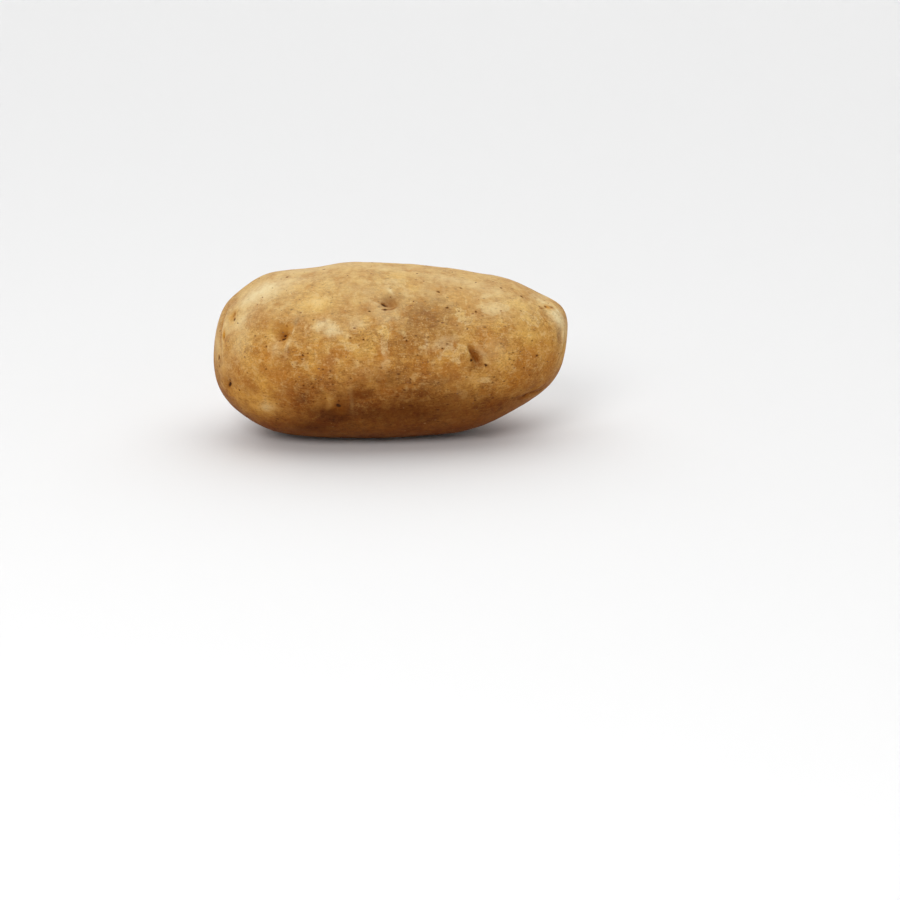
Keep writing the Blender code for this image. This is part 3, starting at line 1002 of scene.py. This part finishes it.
def poreTree(settings):
    tree = bpy.data.node_groups.new("scatteredPores", "GeometryNodeTree")
    tree.interface.new_socket("Skin", in_out="INPUT", socket_type="NodeSocketGeometry")
    for name, setting in poreInputs.items():
        whole = isinstance(settings[setting], int)
        kind = "NodeSocketInt" if whole else "NodeSocketFloat"
        tree.interface.new_socket(name, in_out="INPUT", socket_type=kind)
    tree.interface.new_socket("Pores", in_out="OUTPUT", socket_type="NodeSocketGeometry")
    recipe = Recipe(tree)
    inputs = recipe.node("NodeGroupInput").socket.node.outputs
    given = {socket.name: Wire(recipe, socket) for socket in inputs if socket.name}
    place = recipe.node("GeometryNodeInputPosition")
    height = recipe.node("ShaderNodeSeparateXYZ", None, {0: place}, 2)
    above = recipe.node(
        "FunctionNodeCompare",
        {"data_type": "FLOAT", "operation": "GREATER_THAN"},
        {0: height, 1: given["Off Floor"]},
    )
    spread = recipe.node(
        "GeometryNodeDistributePointsOnFaces",
        {"distribute_method": "POISSON"},
        {
            "Mesh": given["Skin"],
            "Selection": above,
            "Distance Min": given["Apart"],
            "Density Max": given["Density"],
            "Seed": given["Seed"],
        },
    )
    turning = Wire(recipe, spread.socket.node.outputs["Rotation"])
    sphere = {"Segments": given["Sides"], "Rings": given["Rings"], "Radius": 1.0}
    bead = recipe.node("GeometryNodeMeshUVSphere", None, sphere)
    flatSize = recipe.node("ShaderNodeCombineXYZ", None, {0: 1.0, 1: 1.0, 2: given["Flatness"]})
    flat = recipe.node("GeometryNodeTransform", None, {"Geometry": bead, "Scale": flatSize})
    width = recipe.chance(given["Smallest"], given["Largest"], given["Seed"]) * given["Size"]
    ratio = recipe.chance(given["Shortest"], given["Longest"], given["Length Seed"])
    scale = recipe.node("ShaderNodeCombineXYZ", None, {0: width * ratio, 1: width, 2: width})
    placed = recipe.node(
        "GeometryNodeInstanceOnPoints",
        None,
        {"Points": spread, "Instance": flat, "Rotation": turning, "Scale": scale},
    )
    real = recipe.node("GeometryNodeRealizeInstances", None, {0: placed})
    finish = {"Geometry": real, "Material": corkFinish(settings)}
    recipe.node("NodeGroupOutput", None, {0: recipe.node("GeometryNodeSetMaterial", None, finish)})
    return tree


def corkFinish(look):
    material = bpy.data.materials.new("corkPores")
    material.use_nodes = True
    shader = material.node_tree.nodes["Principled BSDF"]
    recipe = Recipe(material.node_tree)
    where = recipe.node("ShaderNodeTexCoord", output=3)
    amount = recipe.step(recipe.cloud(where, 4, 4, 0.6, 0, 9), 0.35, 0.65)
    colour = recipe.blend(amount, look["darkCork"], look["lightCork"])
    material.node_tree.links.new(colour.socket, shader.inputs["Base Color"])
    shader.inputs["Roughness"].default_value = look["roughness"]
    return material


def growPores(skin, settings):
    carrier = bpy.data.objects.new("poreCarrier", skin.data.copy())
    bpy.context.scene.collection.objects.link(carrier)
    modifier = carrier.modifiers.new("scatteredPores", "NODES")
    tree = poreTree(settings)
    modifier.node_group = tree
    for socket in tree.interface.items_tree:
        if socket.name in poreInputs:
            modifier[socket.identifier] = settings[poreInputs[socket.name]]
    bpy.context.view_layer.update()
    evaluated = carrier.evaluated_get(bpy.context.evaluated_depsgraph_get())
    mesh = bpy.data.meshes.new_from_object(evaluated)
    bpy.data.objects.remove(carrier, do_unlink=True)
    mesh.name = "corkPores"
    for name in toneMaps:
        mesh.color_attributes.remove(mesh.color_attributes[name])
    mesh.shade_smooth()
    made = bpy.data.objects.new("corkPores", mesh)
    bpy.context.scene.collection.objects.link(made)
    print("pores grown:", len(mesh.polygons), "faces")
    return made


# The studio: a pale floor, soft lights and the camera.

studio = {
    "floorRadius": 3.0,  # flat this far out, then it sweeps up all round
    "sweepRadius": 1.2,
    "wallHeight": 2.4,
    "floorSides": 64,
    "floorRings": (0.1, 0.3, 0.6, 1),  # of its radius
    "sweepSteps": 12,
    "floorColour": (0.8, 0.8, 0.8, 1),
    "floorRoughness": 0.9,
    "floorShine": 0.1,
    "worldColour": (1.0, 1.0, 1.0, 1),
    "worldStrength": 0.17,
    "distance": 0.904,
    "elevation": 15,
    "lens": 100,
    "nearest": 0.01,
    "offCentre": (0.0211, -0.0369),  # the camera aims this far right of and above the potato
}
lights = {
    "ceilingLight": {"at": (0.0, 1.1, 3.0), "size": 7.0, "watts": 190, "shape": "SQUARE"},
    "keyLight": {"at": (-0.35, -1.05, 0.8), "size": 0.6, "watts": 7.2, "shape": "DISK"},
}


def layFloor(settings):
    # a floor that sweeps up into a wall all round, so no edge shows behind the potato
    flat, bend = settings["floorRadius"], settings["sweepRadius"]
    sides, steps = settings["floorSides"], settings["sweepSteps"]
    outline = [(flat * share, 0) for share in settings["floorRings"]]
    for step in range(1, steps + 1):
        angle = radians(step * 90 / steps)
        outline.append((flat + bend * sin(angle), bend * (1 - cos(angle))))
    outline.append((flat + bend, settings["wallHeight"]))
    sweep = bmesh.new()
    turns = [2 * pi * side / sides for side in range(sides)]
    rings = []
    for radius, height in outline:
        corners = [(radius * cos(turn), radius * sin(turn), height) for turn in turns]
        rings.append([sweep.verts.new(corner) for corner in corners])
    sweep.faces.new(rings[0])
    for inner, outer in zip(rings, rings[1:]):
        for side in range(sides):
            after = (side + 1) % sides
            sweep.faces.new((inner[side], outer[side], outer[after], inner[after]))
    mesh = bpy.data.meshes.new("paleFloor")
    sweep.to_mesh(mesh)
    sweep.free()
    mesh.shade_smooth()
    floor = bpy.data.objects.new("paleFloor", mesh)
    bpy.context.scene.collection.objects.link(floor)
    material = bpy.data.materials.new("paleFloor")
    material.use_nodes = True
    shader = material.node_tree.nodes["Principled BSDF"]
    shader.inputs["Base Color"].default_value = settings["floorColour"]
    shader.inputs["Roughness"].default_value = settings["floorRoughness"]
    shader.inputs["Specular IOR Level"].default_value = settings["floorShine"]
    floor.data.materials.append(material)
    return floor


def hangLights(lamps):
    for name, lamp in lamps.items():
        data = bpy.data.lights.new(name, "AREA")
        data.shape = lamp["shape"]
        data.size = lamp["size"]
        data.energy = lamp["watts"]
        light = bpy.data.objects.new(name, data)
        light.location = lamp["at"]
        aim = Vector(potatoMiddle) - light.location
        light.rotation_euler = aim.to_track_quat("-Z", "Y").to_euler()
        bpy.context.scene.collection.objects.link(light)


def lightWorld(settings):
    world = bpy.data.worlds.new("softRoom")
    world.use_nodes = True
    background = world.node_tree.nodes["Background"]
    background.inputs["Color"].default_value = settings["worldColour"]
    background.inputs["Strength"].default_value = settings["worldStrength"]
    bpy.context.scene.world = world


def setCamera(settings):
    tilt = radians(settings["elevation"])
    forward = Vector((0, cos(tilt), -sin(tilt)))
    upward = Vector((0, sin(tilt), cos(tilt)))
    middle = Vector(potatoMiddle)
    data = bpy.data.cameras.new("camera")
    data.lens = settings["lens"]
    data.clip_start = settings["nearest"]
    camera = bpy.data.objects.new("camera", data)
    camera.location = middle - forward * settings["distance"]
    right, above = settings["offCentre"]
    aim = middle + Vector((1, 0, 0)) * right + upward * above - camera.location
    camera.rotation_euler = aim.to_track_quat("-Z", "Y").to_euler()
    bpy.context.scene.collection.objects.link(camera)
    bpy.context.scene.camera = camera


skinMesh, packedSurface, eyePlaces = makeSkinMesh(skinForm)
workSkin(skinMesh, packedSurface, eyePlaces, skinForm)
skinMesh.shade_smooth()
skinMesh.materials.append(russetSkin(russet))
potatoSkin = bpy.data.objects.new("potatoSkin", skinMesh)
bpy.context.scene.collection.objects.link(potatoSkin)
corkPores = growPores(potatoSkin, pores)

for piece in (potatoSkin, corkPores):
    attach(piece, "root")
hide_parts("potato")

layFloor(studio)
hangLights(lights)
lightWorld(studio)
setCamera(studio)
bpy.context.scene.view_settings.view_transform = "Standard"
print("studio set")
